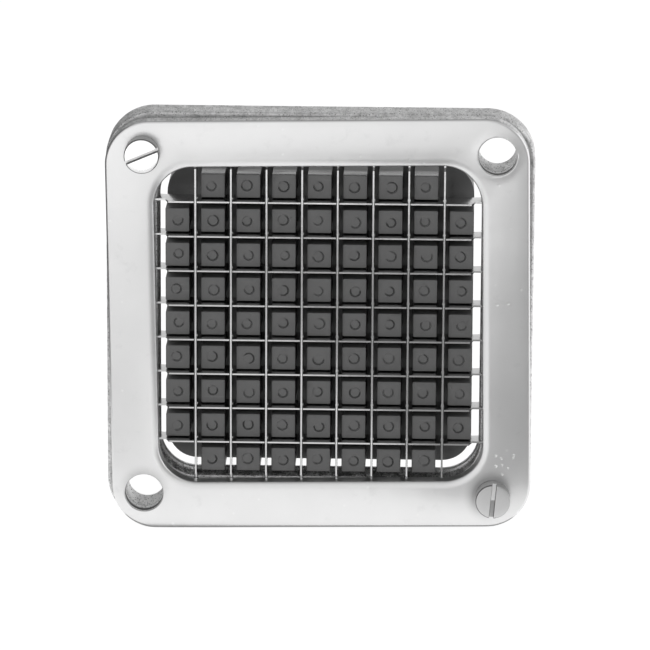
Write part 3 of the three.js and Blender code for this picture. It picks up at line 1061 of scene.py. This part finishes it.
bmesh.ops.remove_doubles(block, verts=block.verts, dist=0.002 * MM)
outline_edges = [edge for edge in block.edges if edge.is_boundary]


def outline_way(point):
    """The way out of the base's outline at a point on it."""
    x = point.x / MM - pusher_shift
    z = point.z / MM - grid_middle - pusher_drop
    near = Vector((limit(x, -base_flat, base_flat), limit(z, -base_flat, base_flat)))
    way = (Vector((x, z)) - near).normalized()
    return Vector((way.x, 0, way.y))


# The sides and the rounded back edge of the base follow its outline, and one face closes the back
starts = {vert: (vert.co.copy(), outline_way(vert.co)) for edge in outline_edges for vert in edge.verts}
last_ring = {vert: vert for vert in starts}
profile = [(0, base_front + 0.5)]
profile += [(base_edge_round * inset, base_back - base_edge_round * drop) for inset, drop in rounding(4)]
for inset, depth in profile:
    next_ring = {}
    for vert, (start, way) in starts.items():
        point = start - way * inset * MM
        point.y = (depth + depth_shift) * MM
        next_ring[vert] = block.verts.new(point)
    for edge in outline_edges:
        a, b = edge.verts
        block.faces.new((last_ring[a], last_ring[b], next_ring[b], next_ring[a]))
    last_ring = next_ring
ordered = list(outline_edges[0].verts)
neighbours = {}
for edge in outline_edges:
    a, b = edge.verts
    neighbours.setdefault(a, []).append(b)
    neighbours.setdefault(b, []).append(a)
while True:
    following = next(vert for vert in neighbours[ordered[-1]] if vert != ordered[-2])
    if following == ordered[0]:
        break
    ordered.append(following)
block.faces.new([last_ring[vert] for vert in ordered])
bmesh.ops.recalc_face_normals(block, faces=block.faces)
pusher_block = mesh_object("pusher_block_moulding", block)
insert_spots = {
    "upper_left": (-insert_offset, insert_offset), "upper_right": (insert_offset, insert_offset),
    "lower_left": (-insert_offset, -insert_offset), "lower_right": (insert_offset, -insert_offset),
}
bore = [(insert_bore_radius, insert_bore_front), (insert_bore_radius, 30)]
cut_with(pusher_block, [
    turned_solid("bore", bore, x + pusher_shift, z + pusher_drop) for x, z in insert_spots.values()
])
shade(pusher_block, 30)

black_plastic, tree, body = finish_of("black moulded plastic", metal=False)
moulded = grain_on(tree, 3200.0, 500.0, 0.08)
marks = marks_on(tree, 260.0, 0.16, 0.28)
patchy = patches(tree, 220.0)
tint = mix(tree, patchy, grey(0.068), grey(0.09))
# Past the finger roots the base is painted lighter, as a painted sheen
tint = stain(tree, tint, past_depth(tree, 16.0, 18.0), 1.0, 0.11)
tint = stain(tree, tint, marks["Scratches"], 0.6, 0.15)
tint = stain(tree, tint, marks["Smudges"], 0.5, 0.045)

# The tops of the upper fingers are painted lighter in streaks near their faces, as painted light from above,
# and are glossier there
top_row = (grid_middle + pusher_drop + cell_places[-1] + finger_half - 0.35) * MM
top_light_and_gloss = maths(tree, "SUBTRACT", object_axis(tree, "Z"), top_row)
top_light_and_gloss = maths(tree, "MULTIPLY", top_light_and_gloss, 3000.0, clamp=True)
streaks = add(tree, "ShaderNodeMapping", {"Vector": object_spot(tree), "Scale": (110, 420, 500)}).outputs[0]
streaks = noise_value(tree, streaks, 1.0, 3.0, 0.55, 0.3)
top_light_and_gloss = maths(tree, "MULTIPLY", top_light_and_gloss, maths(tree, "MULTIPLY_ADD", streaks, 3.0, -0.6, clamp=True))
near_face = between_depths(tree, finger_front + 0.6, finger_front + 1.6, finger_front + 4, finger_front + 7)
top_light_and_gloss = maths(tree, "MULTIPLY", top_light_and_gloss, near_face)
feed(tree, body["Base Color"], stain(tree, tint, top_light_and_gloss, 1.0, 0.27))
polish = mix(tree, patchy, 0.38, 0.52, "Float")
feed(tree, body["Roughness"], mix(tree, top_light_and_gloss, polish, 0.16, "Float"))
raise_surface(tree, body, [(patchy, 0.12), (moulded["Height"], 0.01), (sunk(tree, marks["Nicks"]), 0.2)])
dress(pusher_block, black_plastic)
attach(pusher_block, "pusher")
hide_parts("pusher_base", *[f"finger_row_{i + 1}" for i in range(9)])


# Inserts: four short brass sleeves, threaded inside, that the carriage's screws go into.
# They are pressed into bores in the back of the pusher block and end flush with it.
sleeve_radius = 3.5
sleeve_bore = 2.2
sleeve_front = 20.75
sleeve_pitch = 0.8
sleeve_thread_depth = 0.35

brass, tree, body = finish_of("turned brass")
patchy = patches(tree, 500.0)
feed(tree, body["Base Color"], mix(tree, patchy, (0.66, 0.48, 0.2, 1), (0.78, 0.62, 0.32, 1)))
feed(tree, body["Roughness"], mix(tree, patchy, 0.285, 0.42, "Float"))
raise_surface(tree, body, [(patchy, 0.03)])

profile = [(sleeve_radius - 0.4, sleeve_front), (sleeve_radius, sleeve_front + 0.4),
           (sleeve_radius, base_back - 0.2), (sleeve_radius - 0.2, base_back), (sleeve_bore + 0.5, base_back)]
depth = base_back - 0.4
while depth > sleeve_front + sleeve_pitch:
    profile += [(sleeve_bore, depth), (sleeve_bore + sleeve_thread_depth, depth - sleeve_pitch / 2)]
    depth -= sleeve_pitch
profile.append((sleeve_bore, sleeve_front))
for corner, (x, z) in insert_spots.items():
    rings = turned_rings(profile, x + pusher_shift, z + pusher_drop, 48)
    sleeve = mesh_object(f"pusher_insert_{corner}_sleeve", loft(rings))
    dress(sleeve, brass)
    shade(sleeve, 30)
    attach(sleeve, "pusher")
    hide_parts(f"pusher_insert_{corner}")
